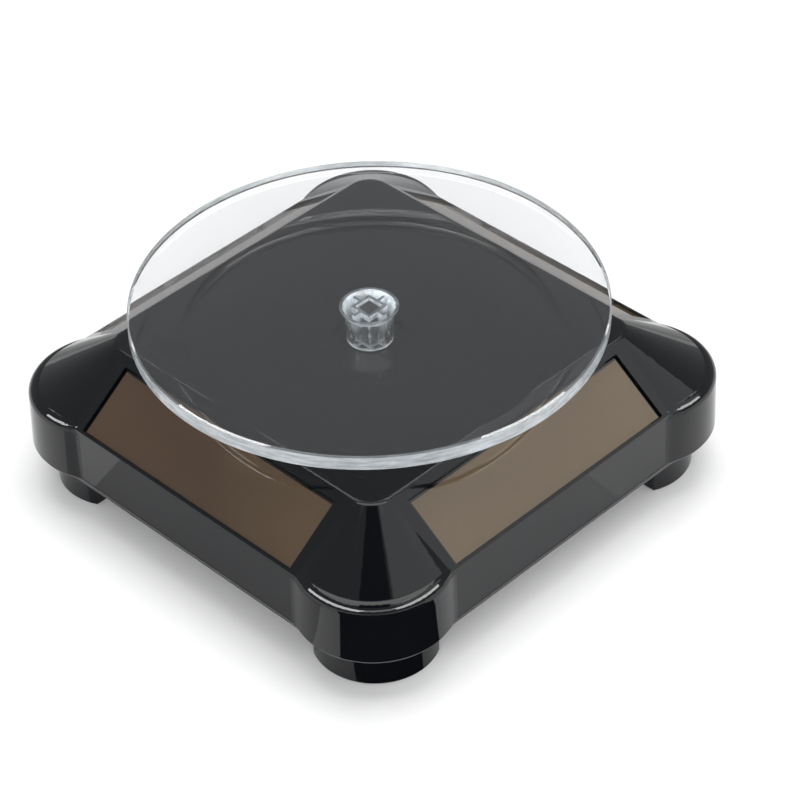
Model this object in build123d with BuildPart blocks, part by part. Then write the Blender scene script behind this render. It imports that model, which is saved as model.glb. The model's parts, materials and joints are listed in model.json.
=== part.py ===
from build123d import *
from math import acos, cos, pi, radians, sin, sqrt, tan
import os

# Solar turntable display stand. Millimetres, +Z up. The table top is Z = 0 and the axis that the
# display plate turns about is the Z axis. The four straight walls face +X, -X, +Y and -Y.

os.makedirs("parts", exist_ok=True)

# ---------------------------------------------------------------- driving dimensions
# Display plate and its hub
DISC_RADIUS = 45.0
DISC_THICKNESS = 3.2
DISC_TOP = 39.4
DISC_BOTTOM = DISC_TOP - DISC_THICKNESS
DISC_CHAMFER = 0.3
HUB_BOTTOM = 28.9
HUB_WAIST = 34.0
HUB_BEND = 35.35
HUB_BODY_RADIUS = 4.4
HUB_WAIST_RADIUS = 4.7
HUB_BEND_RADIUS = 4.98
HUB_FLARE_RADIUS = 5.6
HUB_WALL = 0.6
SPIGOT_SIDE = 3.5
SOCKET_SIDE = 3.6
SOCKET_WALL = 0.6
RIB_WIDTH = 0.6

# Housing, outside
WALL_HALF = 48.85
DRAFT = 1.5
SKIRT_BOTTOM = 9.7
LOBE_CENTRE = 35.76
LOBE_RADIUS = 14.65
LOBE_TOP = 22.1
LOBE_ROLL = 2.0
LOBE_BLEND = 6.0
WING_INSET = 0.02
WING_START = 20.0
FAN_CENTRE = 35.1
FAN_RADIUS = 14.86
PLATEAU_HALF = 35.1
PLATEAU_TOP = 31.1
PLATEAU_CORNER = 4.3
PLATEAU_EDGE_ROUND = 1.4
SLOPE_ANGLE = 35.65
RECESS_RADIUS = 35.4
RECESS_DEPTH = 1.7
SINK_RADIUS = 6.9
SINK_DEPTH = 0.8
CENTRE_HOLE_RADIUS = 3.2
GROOVE_WIDTH = 0.3
GROOVE_DEPTH = 0.25
GROOVE_OUTSET = 0.1
RECESS_ROUND = 0.8
HAIR = 0.01
LEAD_SLOT_LENGTH = 6.0
LEAD_SLOT_WIDTH = 2.5
POST_HOLE_DEPTH = 11.0

# Housing, inside
SKIN = 2.0
SLOPE_SKIN = 3.4
CEILING = 27.4

# Solar panels and the pockets they lie in
PANEL_LENGTH = 55.2
PANEL_WIDTH = 13.9
PANEL_THICKNESS = 1.6
PANEL_SINK = 0.57
PANEL_GAP = 0.2
PANEL_OUT = 42.6
PANEL_CHAMFER = 0.12

# Base pan and feet
PAN_BOTTOM = 9.1
PAN_FLOOR = 1.8
PAN_TOP = PAN_BOTTOM + PAN_FLOOR
PAN_FIT = 0.15
PAN_RIM_HEIGHT = 2.0
PAN_RIM_WIDTH = 1.2
FLANGE_OUTSET = 0.2
FLANGE_LOBE_INSET = 0.35
FLANGE_ROUND = 0.2
FOOT_CENTRE = 35.0
FOOT_RADIUS = 11.9
FOOT_INNER_FACE = 29.6
FOOT_BOTTOM = 0.15
FOOT_EDGE_ROUND = 0.3
PAD_RADIUS = 6.4
PAD_GAP = 0.1
PAD_THICKNESS = 1.0

# Housing screws, up through the feet
SCREW_PLACE = 37.0
SCREW_RADIUS = 1.45
SCREW_HEAD_RADIUS = 2.8
SCREW_HEAD_HEIGHT = 1.9
SCREW_LENGTH = 10.0
SCREW_SLOT_WIDTH = 0.7
SCREW_SLOT_DEPTH = 1.2
SCREW_CLEARANCE_RADIUS = 1.7
SCREW_WELL_RADIUS = 3.6
POST_RADIUS = 3.4

# Gear train
MODULE = 0.4
PRESSURE = radians(20)
PINION_TEETH = 12
WHEEL_TEETH = 48
OUTPUT_TEETH = 60
PROFILE_SHIFT = 0.3
BACKLASH = 0.07
SECOND_DIRECTION = -160
FIRST_DIRECTION = -85
MOTOR_DIRECTION = -30
OUTPUT_DISTANCE = MODULE * (PINION_TEETH + OUTPUT_TEETH) / 2
STAGE_DISTANCE = MODULE * (PINION_TEETH + WHEEL_TEETH) / 2

# Heights of the gears, from the output gear up to the motor pinion
OUTPUT_GEAR_BOTTOM = 17.4
OUTPUT_GEAR_TOP = 19.6
OUTPUT_HUB_TOP = 21.4
OUTPUT_HUB_RADIUS = 4.2
SECOND_PINION_BOTTOM = 17.0
SECOND_WHEEL_BOTTOM = 20.6
SECOND_WHEEL_TOP = 22.0
FIRST_PINION_BOTTOM = 20.2
FIRST_WHEEL_BOTTOM = 23.0
FIRST_WHEEL_TOP = 24.4
GEAR_HUB_TOP = 24.9
GEAR_HUB_RADIUS = 1.6
WINDOW_RING = 8.0
WINDOW_RADIUS = 2.4
WINDOW_COUNT = 6
MOTOR_PINION_BOTTOM = 22.7
MOTOR_PINION_TOP = 24.9

# Shafts, axles and bushes
SHAFT_RADIUS = 2.5
JOURNAL_RADIUS = 1.5
RUNNING_GAP = 0.05
AXLE_RADIUS = 0.75
SHAFT_SHOULDER = 17.0
SHAFT_FLANGE_RADIUS = 4.0
SEAT_RADIUS = 3.0
SEAT_FLAT = 2.5
JOURNAL_BOTTOM = 12.4
SPIGOT_TOP = 35.9
BUSH_FLANGE = 0.6
WASHER_THICKNESS = 0.4
WASHER_GAP = 0.1
BUSH_LIP = 1.0
BUSH_BOSS_RADIUS = 4.0
BUSH_SEAT = 12.0
AXLE_BOSS_RADIUS = 2.0
AXLE_BOTTOM = 11.9
AXLE_TOP = 26.2
SPIGOT_CHAMFER = 0.4
LOWER_BUSH_RADIUS = 2.4
LOWER_BUSH_TOP = SHAFT_SHOULDER - WASHER_THICKNESS
UPPER_BUSH_RADIUS = 3.6

# Gear plate and the posts it is screwed to
PLATE_BOTTOM = 25.2
PLATE_THICKNESS = 1.2
PLATE_TOP = PLATE_BOTTOM + PLATE_THICKNESS
PLATE_POSTS = [(14.0, -9.0), (-26.0, -11.5), (-17.0, -31.0), (-12.0, 9.5)]
PLATE_POST_RADIUS = 2.0
PLATE_MARGIN = 1.2
SMALL_SCREW_RADIUS = 0.8
SMALL_SCREW_HEAD_RADIUS = 1.6
SMALL_SCREW_HEAD_HEIGHT = 0.7
SMALL_SCREW_LENGTH = 6.0
SMALL_SCREW_SLOT = 0.4

# Motor
MOTOR_RADIUS = 8.5
MOTOR_WALL = 0.7
MOTOR_BOTTOM = PAN_TOP
MOTOR_CAP_TOP = 13.2
MOTOR_TOP = 22.1
MOTOR_NOSE_RADIUS = 2.6
MOTOR_NOSE_HEIGHT = 0.3
MOTOR_SHAFT_RADIUS = 0.75
MOTOR_RING_WIDTH = 1.3
MOTOR_RING_TOP = 16.5

# Battery (AA size), its bay, contacts and door
BATTERY_RADIUS = 7.1
BATTERY_HALF_LENGTH = 24.6
BATTERY_NUB_RADIUS = 2.75
BATTERY_NUB = 1.3
BATTERY_EDGE_ROUND = 0.4
BATTERY_Y = 21.6
BATTERY_Z = 18.6
BAY_HALF_LENGTH = 27.3
BAY_HALF_WIDTH = 7.4
BAY_WALL = 1.0
BAY_ROOF = 25.9
BAY_ROOF_THICKNESS = 0.8
CONTACT_THICKNESS = 0.4
SPRING_WIRE = 0.3
SPRING_RADIUS = 3.0
SPRING_TURNS = 3
SPRING_SINK = 0.7
CONTACT_SIZE = 10.0
DOOR_GRIP_PLACE = -21.0
DOOR_GRIP_COUNT = 4
DOOR_GRIP_SPACING = 2.0
DOOR_GRIP_LENGTH = 9.0
DOOR_GRIP_WIDTH = 0.9
DOOR_GRIP_DEPTH = 0.5
DOOR_HALF_LENGTH = 28.4
DOOR_HALF_WIDTH = 7.8
DOOR_THICKNESS = 1.4
DOOR_TRAVEL = 7.0
DOOR_GAP = 0.15
TONGUE_REACH = 0.7
TONGUE_HEIGHT = 0.65
TONGUE_LENGTH = 8.0
NOTCH_MARGIN = 1.0
TONGUE_OFFSET = 18.0
TRACK_ROOF = 1.2
TRACK_TOP = PAN_BOTTOM + DOOR_THICKNESS + 0.05
BATTERY_LEAD_HEIGHT = 14.0
LEAD_HOLE_RADIUS = 0.8

# Circuit board
BOARD_X = 32.0
BOARD_Y = -8.0
BOARD_LENGTH = 26.0
BOARD_WIDTH = 18.0
BOARD_THICKNESS = 1.2
BOARD_BOTTOM = 14.4
BOARD_TOP = BOARD_BOTTOM + BOARD_THICKNESS
BOARD_POST_RADIUS = 1.8
BOARD_POST_SPACING_X = 13.0
BOARD_POST_SPACING_Y = 21.0
CAPACITOR_RADIUS = 4.0
CAPACITOR_HEIGHT = 9.5
DIODE_RADIUS = 1.3
DIODE_LENGTH = 5.0
BOARD_SCREW_LENGTH = 3.8
CAPACITOR_PLACE = (30.0, -11.5)
DIODE_PLACE = (36.0, -6.0)

# Leads: single cores to the battery, sheathed pairs to the panels and the motor
LEAD_RADIUS = 0.4
LEAD_BEND = 1.2
LEAD_DROP = 2.5

# ---------------------------------------------------------------- derived places
SLOPE_RISE = tan(radians(SLOPE_ANGLE))
ROOF_FOOT = PLATEAU_TOP - (WALL_HALF - PLATEAU_HALF) * SLOPE_RISE
WALL_FOOT = WALL_HALF + (ROOF_FOOT - SKIRT_BOTTOM) * tan(radians(DRAFT))
WING_HALF = WALL_HALF - (LOBE_TOP - ROOF_FOOT) * tan(radians(DRAFT)) - WING_INSET
LOBE_FOOT_RADIUS = LOBE_RADIUS + (LOBE_TOP - SKIRT_BOTTOM) * tan(radians(DRAFT))
FAN_END = FAN_CENTRE - sqrt(FAN_RADIUS**2 - (WALL_HALF - FAN_CENTRE) ** 2)
FAN_TIP = FAN_CENTRE + FAN_RADIUS / sqrt(2)
PLATEAU_END = PLATEAU_HALF - PLATEAU_CORNER
PLATEAU_TIP = PLATEAU_END + PLATEAU_CORNER / sqrt(2)
RECESS_FLOOR = PLATEAU_TOP - RECESS_DEPTH
INNER_HALF = WALL_HALF - SKIN
INNER_LOBE = LOBE_RADIUS - SKIN
INNER_TOP_HALF = PLATEAU_HALF - 0.6
INNER_ROOF_FOOT = CEILING - (INNER_HALF - INNER_TOP_HALF) * SLOPE_RISE
PANEL_Z = PLATEAU_TOP - (PANEL_OUT - PLATEAU_HALF) * SLOPE_RISE
SIDES = {"right": 0, "rear": 90, "left": 180, "front": 270}
FLANGE_HALF = WALL_FOOT + FLANGE_OUTSET
PAN_HALF = INNER_HALF - PAN_FIT
PAN_LOBE = INNER_LOBE - PAN_FIT
CORNERS = {"front_right": (1, -1), "rear_right": (1, 1), "rear_left": (-1, 1), "front_left": (-1, -1)}

SECOND_AXIS = (
    OUTPUT_DISTANCE * cos(radians(SECOND_DIRECTION)),
    OUTPUT_DISTANCE * sin(radians(SECOND_DIRECTION)),
)
FIRST_AXIS = (
    SECOND_AXIS[0] + STAGE_DISTANCE * cos(radians(FIRST_DIRECTION)),
    SECOND_AXIS[1] + STAGE_DISTANCE * sin(radians(FIRST_DIRECTION)),
)
MOTOR_AXIS = (
    FIRST_AXIS[0] + STAGE_DISTANCE * cos(radians(MOTOR_DIRECTION)),
    FIRST_AXIS[1] + STAGE_DISTANCE * sin(radians(MOTOR_DIRECTION)),
)


def slope_plane(side_angle, depth):
    """Plane on a sloped face, a depth below its surface: local X runs along the wall, Z points out."""
    turn = radians(side_angle)
    tilt = radians(SLOPE_ANGLE)
    normal = Vector(sin(tilt) * cos(turn), sin(tilt) * sin(turn), cos(tilt))
    surface = Vector(PANEL_OUT * cos(turn), PANEL_OUT * sin(turn), PANEL_Z)
    along = Vector(-sin(turn), cos(turn), 0)
    return Plane(origin=surface - normal * depth, x_dir=along, z_dir=normal)


def gear_outline(teeth, shift, tooth_angle):
    """Points of a spur gear with involute flanks; one tooth is centred on tooth_angle (degrees)."""
    pitch_radius = MODULE * teeth / 2
    base_radius = pitch_radius * cos(PRESSURE)
    tip_radius = pitch_radius + MODULE * (1 + shift)
    root_radius = pitch_radius - MODULE * (1.25 - shift)
    half_pitch_tooth = (pi / 2 + 2 * shift * tan(PRESSURE)) / teeth - BACKLASH / (2 * pitch_radius)
    involute_at_pitch = tan(PRESSURE) - PRESSURE
    flank_start = max(base_radius, root_radius)
    radii = [flank_start + (tip_radius - flank_start) * step / 3 for step in range(4)]
    half_angles = []
    for radius in radii:
        pressure = acos(min(1.0, base_radius / radius))
        half_angles.append(half_pitch_tooth + involute_at_pitch - (tan(pressure) - pressure))
    if root_radius < base_radius:
        radii = [root_radius] + radii
        half_angles = [half_angles[0]] + half_angles
    points = []
    for tooth in range(teeth):
        centre = radians(tooth_angle) + 2 * pi * tooth / teeth
        for radius, half in zip(radii, half_angles):
            points.append((radius * cos(centre - half), radius * sin(centre - half)))
        for radius, half in zip(reversed(radii), reversed(half_angles)):
            points.append((radius * cos(centre + half), radius * sin(centre + half)))
    return points


# ---------------------------------------------------------------- top housing
# One rear-right lobe: a drafted tower with a rolled top, whose sides sweep out of the two walls
with BuildPart() as lobe:
    with BuildSketch(Plane.XY.offset(LOBE_TOP)):
        with Locations((LOBE_CENTRE, LOBE_CENTRE)):
            Circle(LOBE_RADIUS)
        with Locations((WING_START, WING_START)):
            Rectangle(WING_HALF - WING_START, LOBE_CENTRE - WING_START, align=(Align.MIN, Align.MIN))
            Rectangle(LOBE_CENTRE - WING_START, WING_HALF - WING_START, align=(Align.MIN, Align.MIN))
    extrude(amount=SKIRT_BOTTOM - LOBE_TOP, taper=-DRAFT)
    meets = lobe.edges().filter_by(
        lambda edge: WING_START + LOBE_ROLL < min(edge.center().X, edge.center().Y) < LOBE_CENTRE - LOBE_ROLL
        and abs(edge.center().Z - (LOBE_TOP + SKIRT_BOTTOM) / 2) < LOBE_ROLL
    )
    fillet(meets, radius=LOBE_BLEND)
    rolled = lobe.edges().group_by(Axis.Z)[-1].filter_by(
        lambda edge: max(edge.center().X, edge.center().Y) > WING_HALF - HAIR
    )
    fillet(rolled, radius=LOBE_ROLL)

with BuildPart() as top_housing:
    # Drafted walls and the sloped roof up to the plateau; the roof fans out at its four corners
    for height, half, end, tip in (
        (SKIRT_BOTTOM, WALL_FOOT, FAN_END, FAN_TIP),
        (ROOF_FOOT, WALL_HALF, FAN_END, FAN_TIP),
        (PLATEAU_TOP, PLATEAU_HALF, PLATEAU_END, PLATEAU_TIP),
    ):
        with BuildSketch(Plane.XY.offset(height)):
            with BuildLine():
                for turn in SIDES.values():
                    side_start, side_end, corner, next_start = [
                        Vector(*place).rotate(Axis.Z, turn)
                        for place in ((half, -end), (half, end), (tip, tip), (end, half))
                    ]
                    Line(side_start, side_end)
                    ThreePointArc(side_end, corner, next_start)
            make_face()
    loft(ruled=True)
    fillet(top_housing.edges().group_by(Axis.Z)[-1], radius=PLATEAU_EDGE_ROUND)
    # Four round lobes, blended into the straight walls
    with PolarLocations(0, len(CORNERS)):
        add(lobe.part)
    # Round recess in the plateau, with a soft corner at its floor, and the sink round the hub
    with BuildSketch(Plane.XY.offset(RECESS_FLOOR)):
        Circle(RECESS_RADIUS)
    extrude(amount=2 * RECESS_DEPTH, mode=Mode.SUBTRACT)
    recess_floor = top_housing.faces().filter_by(Plane.XY).filter_by(
        lambda face: abs(face.center().Z - RECESS_FLOOR) < HAIR
    )
    fillet(recess_floor.edges(), radius=RECESS_ROUND)
    with BuildSketch(Plane.XY.offset(RECESS_FLOOR - SINK_DEPTH)):
        Circle(SINK_RADIUS)
    extrude(amount=2 * SINK_DEPTH, mode=Mode.SUBTRACT)
    # Parting groove round the foot of each fan
    with BuildSketch(Plane.XY.offset(LOBE_TOP - GROOVE_DEPTH)):
        with GridLocations(2 * FAN_CENTRE, 2 * FAN_CENTRE, 2, 2):
            Circle(FAN_RADIUS + GROOVE_OUTSET)
            Circle(FAN_RADIUS + GROOVE_OUTSET - GROOVE_WIDTH, mode=Mode.SUBTRACT)
        Rectangle(2 * WALL_HALF, 2 * FAN_CENTRE, mode=Mode.SUBTRACT)
        Rectangle(2 * FAN_CENTRE, 2 * WALL_HALF, mode=Mode.SUBTRACT)
    extrude(amount=2 * GROOVE_DEPTH, mode=Mode.SUBTRACT)
    # Hollow inside: the skirt with its lobes, then the roof up to the ceiling
    with BuildSketch(Plane.XY.offset(SKIRT_BOTTOM)):
        RectangleRounded(2 * INNER_HALF, 2 * INNER_HALF, INNER_HALF - LOBE_CENTRE)
        with GridLocations(2 * LOBE_CENTRE, 2 * LOBE_CENTRE, 2, 2):
            Circle(INNER_LOBE)
    extrude(amount=INNER_ROOF_FOOT - SKIRT_BOTTOM, mode=Mode.SUBTRACT)
    with BuildSketch(Plane.XY.offset(INNER_ROOF_FOOT)):
        RectangleRounded(2 * INNER_HALF, 2 * INNER_HALF, INNER_HALF - LOBE_CENTRE)
    with BuildSketch(Plane.XY.offset(CEILING)):
        RectangleRounded(2 * INNER_TOP_HALF, 2 * INNER_TOP_HALF, PLATEAU_CORNER)
    loft(ruled=True, mode=Mode.SUBTRACT)
    # Screw posts, from the roof down to the base pan
    with BuildSketch(Plane.XY.offset(PAN_TOP)):
        with GridLocations(2 * SCREW_PLACE, 2 * SCREW_PLACE, 2, 2):
            Circle(POST_RADIUS)
    extrude(until=Until.NEXT)
    with BuildSketch(Plane.XY.offset(PAN_TOP)):
        with GridLocations(2 * SCREW_PLACE, 2 * SCREW_PLACE, 2, 2):
            Circle(SCREW_RADIUS)
    extrude(amount=POST_HOLE_DEPTH, mode=Mode.SUBTRACT)
    # Clearance hole for the output shaft
    with BuildSketch(Plane.XY.offset(CEILING - HAIR)):
        Circle(CENTRE_HOLE_RADIUS)
    extrude(amount=PLATEAU_TOP - CEILING, mode=Mode.SUBTRACT)
    # A pocket on each sloped face, with a slot in its floor for the panel's leads
    for side_angle in SIDES.values():
        with BuildSketch(slope_plane(side_angle, PANEL_SINK + PANEL_THICKNESS)):
            Rectangle(PANEL_LENGTH + 2 * PANEL_GAP, PANEL_WIDTH + 2 * PANEL_GAP)
        extrude(amount=2 * PANEL_SINK + PANEL_THICKNESS, mode=Mode.SUBTRACT)
        with BuildSketch(slope_plane(side_angle, SLOPE_SKIN + PANEL_SINK)):
            SlotOverall(LEAD_SLOT_LENGTH, LEAD_SLOT_WIDTH)
        extrude(amount=SLOPE_SKIN, mode=Mode.SUBTRACT)

top_housing.part.label = "top_housing"
export_step(top_housing.part, "parts/top_housing.step")

# ---------------------------------------------------------------- solar panels
for side_name, side_angle in SIDES.items():
    with BuildPart() as solar_panel:
        with BuildSketch(slope_plane(side_angle, PANEL_SINK + PANEL_THICKNESS)):
            Rectangle(PANEL_LENGTH, PANEL_WIDTH)
        extrude(amount=PANEL_THICKNESS)
        outer_face = solar_panel.faces().sort_by(Axis.Z)[-1]
        chamfer(outer_face.edges(), length=PANEL_CHAMFER)
    solar_panel.part.label = f"solar_panel_{side_name}"
    export_step(solar_panel.part, f"parts/solar_panel_{side_name}.step")

# ---------------------------------------------------------------- display plate and hub
with BuildPart() as turntable_disc:
    with BuildSketch(Plane.XY.offset(DISC_BOTTOM)):
        Circle(DISC_RADIUS)
    extrude(amount=DISC_THICKNESS)
    chamfer(turntable_disc.edges(), length=DISC_CHAMFER)
turntable_disc.part.label = "turntable_disc"
export_step(turntable_disc.part, "parts/turntable_disc.step")

# A flared tube round a square socket, joined by four ribs, moulded in one
with BuildPart() as disc_hub:
    with BuildSketch(Plane.XZ):
        with BuildLine():
            Polyline(
                (HUB_WAIST_RADIUS - HUB_WALL, HUB_WAIST),
                (HUB_BODY_RADIUS - HUB_WALL, HUB_BOTTOM),
                (HUB_BODY_RADIUS, HUB_BOTTOM),
                (HUB_WAIST_RADIUS, HUB_WAIST),
            )
            ThreePointArc(
                (HUB_WAIST_RADIUS, HUB_WAIST),
                (HUB_BEND_RADIUS, HUB_BEND),
                (HUB_FLARE_RADIUS, DISC_BOTTOM),
            )
            Line((HUB_FLARE_RADIUS, DISC_BOTTOM), (HUB_FLARE_RADIUS - HUB_WALL, DISC_BOTTOM))
            ThreePointArc(
                (HUB_FLARE_RADIUS - HUB_WALL, DISC_BOTTOM),
                (HUB_BEND_RADIUS - HUB_WALL, HUB_BEND),
                (HUB_WAIST_RADIUS - HUB_WALL, HUB_WAIST),
            )
        make_face()
    revolve(axis=Axis.Z)
    with BuildSketch(Plane.XY.offset(HUB_BOTTOM)):
        Rectangle(2 * HUB_BODY_RADIUS - HUB_WALL, RIB_WIDTH)
        Rectangle(RIB_WIDTH, 2 * HUB_BODY_RADIUS - HUB_WALL)
        Rectangle(SOCKET_SIDE + 2 * SOCKET_WALL, SOCKET_SIDE + 2 * SOCKET_WALL)
        Rectangle(SOCKET_SIDE, SOCKET_SIDE, mode=Mode.SUBTRACT)
    extrude(amount=DISC_BOTTOM - HUB_BOTTOM)
disc_hub.part.label = "disc_hub"
export_step(disc_hub.part, "parts/disc_hub.step")

# ---------------------------------------------------------------- output shaft and its bearings
with BuildPart() as output_shaft:
    with BuildSketch(Plane.XY.offset(JOURNAL_BOTTOM)):
        Circle(JOURNAL_RADIUS)
    extrude(amount=SHAFT_SHOULDER - JOURNAL_BOTTOM)
    with BuildSketch(Plane.XY.offset(SHAFT_SHOULDER)):
        Circle(SHAFT_FLANGE_RADIUS)
    extrude(amount=OUTPUT_GEAR_BOTTOM - SHAFT_SHOULDER)
    with BuildSketch(Plane.XY.offset(OUTPUT_GEAR_BOTTOM)):
        Circle(SEAT_RADIUS)
        with Locations((SEAT_FLAT + SEAT_RADIUS, 0)):
            Rectangle(2 * SEAT_RADIUS, 2 * SEAT_RADIUS, mode=Mode.SUBTRACT)
    extrude(amount=OUTPUT_HUB_TOP - OUTPUT_GEAR_BOTTOM)
    with BuildSketch(Plane.XY.offset(OUTPUT_HUB_TOP)):
        Circle(SHAFT_RADIUS)
    extrude(amount=HUB_BOTTOM - OUTPUT_HUB_TOP)
    with BuildSketch(Plane.XY.offset(HUB_BOTTOM)):
        Rectangle(SPIGOT_SIDE, SPIGOT_SIDE)
    extrude(amount=SPIGOT_TOP - HUB_BOTTOM)
    chamfer(output_shaft.faces().sort_by(Axis.Z)[-1].edges(), length=SPIGOT_CHAMFER)
output_shaft.part.label = "output_shaft"
export_step(output_shaft.part, "parts/output_shaft.step")

with BuildPart() as upper_bush:
    with BuildSketch(Plane.XY.offset(PLATE_BOTTOM - BUSH_FLANGE)):
        Circle(UPPER_BUSH_RADIUS)
    extrude(amount=PLATE_THICKNESS + BUSH_FLANGE)
    with BuildSketch(Plane.XY.offset(PLATE_TOP)):
        Circle(UPPER_BUSH_RADIUS + BUSH_LIP)
    extrude(amount=BUSH_FLANGE)
    with BuildSketch(Plane.XY.offset(PLATE_BOTTOM - BUSH_FLANGE)):
        Circle(SHAFT_RADIUS + RUNNING_GAP)
    extrude(amount=PLATE_THICKNESS + 2 * BUSH_FLANGE, mode=Mode.SUBTRACT)
upper_bush.part.label = "upper_bush"
export_step(upper_bush.part, "parts/upper_bush.step")

with BuildPart() as lower_bush:
    with BuildSketch(Plane.XY.offset(BUSH_SEAT)):
        Circle(LOWER_BUSH_RADIUS)
    extrude(amount=LOWER_BUSH_TOP - BUSH_SEAT)
    with BuildSketch(Plane.XY.offset(LOWER_BUSH_TOP - BUSH_FLANGE)):
        Circle(LOWER_BUSH_RADIUS + BUSH_LIP)
    extrude(amount=BUSH_FLANGE)
    with BuildSketch(Plane.XY.offset(BUSH_SEAT)):
        Circle(JOURNAL_RADIUS + RUNNING_GAP)
    extrude(amount=LOWER_BUSH_TOP - BUSH_SEAT, mode=Mode.SUBTRACT)
lower_bush.part.label = "lower_bush"
export_step(lower_bush.part, "parts/lower_bush.step")

with BuildPart() as thrust_washer:
    with BuildSketch(Plane.XY.offset(LOWER_BUSH_TOP)):
        Circle(LOWER_BUSH_RADIUS + BUSH_LIP)
        Circle(JOURNAL_RADIUS + WASHER_GAP, mode=Mode.SUBTRACT)
    extrude(amount=WASHER_THICKNESS)
thrust_washer.part.label = "thrust_washer"
export_step(thrust_washer.part, "parts/thrust_washer.step")

# ---------------------------------------------------------------- gears
with BuildPart() as output_gear:
    with BuildSketch(Plane.XY.offset(OUTPUT_GEAR_BOTTOM)):
        with BuildLine():
            Polyline(
                *gear_outline(OUTPUT_TEETH, -PROFILE_SHIFT, SECOND_DIRECTION + 180 / OUTPUT_TEETH),
                close=True,
            )
        make_face()
    extrude(amount=OUTPUT_GEAR_TOP - OUTPUT_GEAR_BOTTOM)
    with BuildSketch(Plane.XY.offset(OUTPUT_GEAR_TOP)):
        Circle(OUTPUT_HUB_RADIUS)
    extrude(amount=OUTPUT_HUB_TOP - OUTPUT_GEAR_TOP)
    with BuildSketch(Plane.XY.offset(OUTPUT_GEAR_BOTTOM)):
        Circle(SEAT_RADIUS)
        with Locations((SEAT_FLAT + SEAT_RADIUS, 0)):
            Rectangle(2 * SEAT_RADIUS, 2 * SEAT_RADIUS, mode=Mode.SUBTRACT)
    extrude(amount=OUTPUT_HUB_TOP - OUTPUT_GEAR_BOTTOM, mode=Mode.SUBTRACT)
    with BuildSketch(Plane.XY.offset(OUTPUT_GEAR_BOTTOM)):
        with PolarLocations(WINDOW_RING, WINDOW_COUNT):
            Circle(WINDOW_RADIUS)
    extrude(amount=OUTPUT_GEAR_TOP - OUTPUT_GEAR_BOTTOM, mode=Mode.SUBTRACT)
output_gear.part.label = "output_gear"
export_step(output_gear.part, "parts/output_gear.step")

# The two compound gears: a pinion below a wheel, with a spacer hub on top
COMPOUND_GEARS = {
    "second_gear": (SECOND_AXIS, SECOND_DIRECTION, FIRST_DIRECTION,
                    SECOND_PINION_BOTTOM, SECOND_WHEEL_BOTTOM, SECOND_WHEEL_TOP),
    "first_gear": (FIRST_AXIS, FIRST_DIRECTION, MOTOR_DIRECTION,
                   FIRST_PINION_BOTTOM, FIRST_WHEEL_BOTTOM, FIRST_WHEEL_TOP),
}
for gear_name, layout in COMPOUND_GEARS.items():
    axis_place, pinion_direction, wheel_direction, pinion_bottom, wheel_bottom, wheel_top = layout
    centre = Plane(origin=(axis_place[0], axis_place[1], 0))
    with BuildPart() as compound_gear:
        with BuildSketch(centre.offset(pinion_bottom)):
            with BuildLine():
                Polyline(
                    *gear_outline(PINION_TEETH, PROFILE_SHIFT, pinion_direction + 180),
                    close=True,
                )
            make_face()
        extrude(amount=wheel_bottom - pinion_bottom)
        with BuildSketch(centre.offset(wheel_bottom)):
            with BuildLine():
                Polyline(
                    *gear_outline(WHEEL_TEETH, -PROFILE_SHIFT, wheel_direction + 180 / WHEEL_TEETH),
                    close=True,
                )
            make_face()
        extrude(amount=wheel_top - wheel_bottom)
        with BuildSketch(centre.offset(wheel_top)):
            Circle(GEAR_HUB_RADIUS)
        extrude(amount=GEAR_HUB_TOP - wheel_top)
        with BuildSketch(centre.offset(pinion_bottom)):
            Circle(AXLE_RADIUS + RUNNING_GAP)
        extrude(amount=GEAR_HUB_TOP - pinion_bottom, mode=Mode.SUBTRACT)
    compound_gear.part.label = gear_name
    export_step(compound_gear.part, f"parts/{gear_name}.step")

AXLES = {"first_axle": FIRST_AXIS, "second_axle": SECOND_AXIS}
for axle_name, axis_place in AXLES.items():
    with BuildPart() as axle:
        with BuildSketch(Plane.XY.offset(AXLE_BOTTOM)):
            with Locations(axis_place):
                Circle(AXLE_RADIUS)
        extrude(amount=AXLE_TOP - AXLE_BOTTOM)
    axle.part.label = axle_name
    export_step(axle.part, f"parts/{axle_name}.step")

# ---------------------------------------------------------------- motor
MOTOR_PLANE = Plane(origin=(MOTOR_AXIS[0], MOTOR_AXIS[1], 0))

with BuildPart() as motor_pinion:
    with BuildSketch(MOTOR_PLANE.offset(MOTOR_PINION_BOTTOM)):
        with BuildLine():
            Polyline(*gear_outline(PINION_TEETH, PROFILE_SHIFT, MOTOR_DIRECTION + 180), close=True)
        make_face()
        Circle(MOTOR_SHAFT_RADIUS, mode=Mode.SUBTRACT)
    extrude(amount=MOTOR_PINION_TOP - MOTOR_PINION_BOTTOM)
motor_pinion.part.label = "motor_pinion"
export_step(motor_pinion.part, "parts/motor_pinion.step")

with BuildPart() as motor_shaft:
    with BuildSketch(MOTOR_PLANE.offset(MOTOR_BOTTOM + MOTOR_WALL)):
        Circle(MOTOR_SHAFT_RADIUS)
    extrude(amount=MOTOR_PINION_TOP - MOTOR_BOTTOM - MOTOR_WALL)
motor_shaft.part.label = "motor_shaft"
export_step(motor_shaft.part, "parts/motor_shaft.step")

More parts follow.
